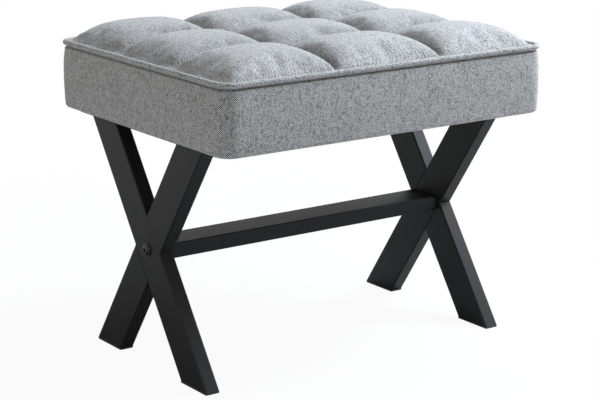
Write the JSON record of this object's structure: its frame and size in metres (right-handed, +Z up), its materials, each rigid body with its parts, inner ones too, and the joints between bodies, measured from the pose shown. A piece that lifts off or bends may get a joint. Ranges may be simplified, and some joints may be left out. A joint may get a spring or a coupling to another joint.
{
  "type": "footstool",
  "caption": "Footstool with a biscuit-quilted grey fabric seat, piped edge and plain side band on two black steel X-frames joined by a flat stretcher.",
  "frame": {"origin": "on the floor under the middle of the seat", "axes": "+X along the stretcher and the seat's length, -Y towards the front long side, +Z up"},
  "size_m": [0.5, 0.405, 0.4281],
  "materials": {
    "grey_linen": "matte",
    "black_lining": "matte",
    "wadding": "matte",
    "foam": "matte",
    "plywood": "matte",
    "pine": "matte",
    "beech": "matte",
    "black_steel": "satin",
    "black_bolt": "satin",
    "zinc_steel": "satin",
    "glide_plastic": "matte"
  },
  "bodies": {
    "root": {"left_through_leg": "black_steel", "left_upper_half_leg": "black_steel", "left_lower_half_leg": "black_steel", "left_mount_plate": "black_steel", "left_spacer_bush": "zinc_steel", "left_nut_plate": "zinc_steel", "left_stretcher_bolt": "black_bolt", "left_front_glide": "glide_plastic", "left_back_glide": "glide_plastic", "left_rail": "pine", "left_bearer": "pine", "right_through_leg": "black_steel", "right_upper_half_leg": "black_steel", "right_lower_half_leg": "black_steel", "right_mount_plate": "black_steel", "right_spacer_bush": "zinc_steel", "right_nut_plate": "zinc_steel", "right_stretcher_bolt": "black_bolt", "right_front_glide": "glide_plastic", "right_back_glide": "glide_plastic", "right_rail": "pine", "right_bearer": "pine", "stretcher": "black_steel", "plate_washers": "black_bolt", "plate_bolts": "black_bolt", "tee_nuts": "zinc_steel", "front_rail": "pine", "back_rail": "pine", "front_left_corner_block": "pine", "front_right_corner_block": "pine", "back_right_corner_block": "pine", "back_left_corner_block": "pine", "frame_tenons": "beech", "seat_panel": "plywood", "seat_foam": "foam", "side_wadding": "wadding", "side_band": "grey_linen", "piping": "grey_linen", "quilted_top": "grey_linen", "dust_cover": "black_lining"}
  },
  "joints": []
}
